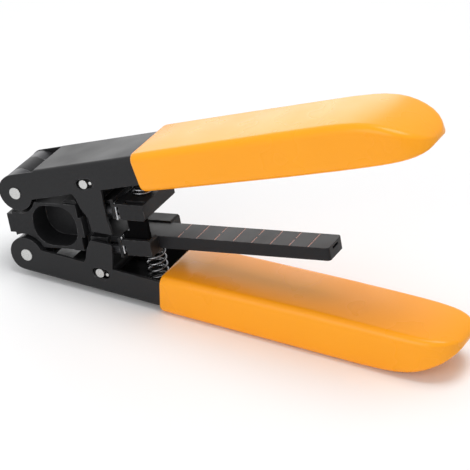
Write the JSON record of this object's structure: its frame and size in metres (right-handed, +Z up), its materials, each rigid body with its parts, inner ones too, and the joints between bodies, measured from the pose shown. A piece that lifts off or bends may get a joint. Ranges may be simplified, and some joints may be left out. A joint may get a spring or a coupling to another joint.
{
  "type": "fibre stripper",
  "caption": "Hand tool with two sprung orange-gripped handles on a black steel head, sliding blade jaws and a marked gauge bar for stripping flat fibre cable.",
  "frame": {"origin": "middle of the tool's footprint, level with the flat underside of the lower grip it stands on", "axes": "+X along the lower handle from the head to its end, +Y across the tool to the open side of the jaws, +Z up"},
  "size_m": [0.158, 0.0246, 0.0823],
  "materials": {
    "black_sheet": "satin black painted pressed steel",
    "black_casting": "satin black painted casting",
    "pin_steel": "ground pin ends",
    "blade_steel": "ground hardened steel",
    "spring_steel": "bright spring wire",
    "black_screw": "blackened screw steel",
    "fence_black": "matt black",
    "gauge_black": "satin black anodised bar",
    "mark_paint": "printed line",
    "grip_orange": "semi-gloss soft dipped vinyl"
  },
  "bodies": {
    "lower_arm": {"lower_arm": "black_sheet", "lower_grip": "grip_orange", "lower_spring": "spring_steel"},
    "centre_block": {"centre_block": "black_casting", "upper_pivot_pin": "pin_steel", "lower_pivot_pin": "pin_steel", "upper_spacers": "black_casting", "lower_spacers": "black_casting"},
    "upper_arm": {"upper_arm": "black_sheet", "upper_grip": "grip_orange"},
    "upper_jaw": {"upper_slide": "black_casting", "upper_slot_pin": "pin_steel", "upper_blade_holder": "black_casting", "upper_blade": "blade_steel", "upper_jaw_screws": "black_screw", "upper_spring": "spring_steel"},
    "lower_jaw": {"lower_slide": "black_casting", "lower_slot_pin": "pin_steel", "lower_blade_holder": "black_casting", "lower_blade": "blade_steel", "lower_jaw_screws": "black_screw", "cable_fence": "fence_black", "gauge_bar": "gauge_black", "gauge_marks": "mark_paint", "gauge_screws": "black_screw"}
  },
  "joints": [
    {"name": "lower_pivot", "type": "hinge", "parent": "lower_arm", "child": "centre_block", "pos_m": [-0.06901, 0, 0.0077], "axis": [0, 1, 0], "range_deg": [0, 6.18], "stiffness_Nm_per_rad": 0.65, "springref_deg": -14.32, "deforming": ["lower_spring"]},
    {"name": "upper_pivot", "type": "hinge", "parent": "centre_block", "child": "upper_arm", "pos_m": [-0.07294, 0, 0.02874], "axis": [0, 1, 0], "range_deg": [0, 6.18], "stiffness_Nm_per_rad": 0.65, "springref_deg": -14.32, "deforming": ["upper_spring"]},
    {"name": "upper_jaw_slide", "type": "slide", "parent": "centre_block", "child": "upper_jaw", "axis": [0.184, 0, -0.9829], "range_m": [0, 0.00292]},
    {"name": "lower_jaw_slide", "type": "slide", "parent": "centre_block", "child": "lower_jaw", "axis": [-0.184, 0, 0.9829], "range_m": [0, 0.00292]}
  ],
  "couplings": [
    {"joint": "upper_jaw_slide", "follows": "upper_pivot", "m_per_rad": 0.026944},
    {"joint": "lower_jaw_slide", "follows": "lower_pivot", "m_per_rad": 0.026944}
  ]
}
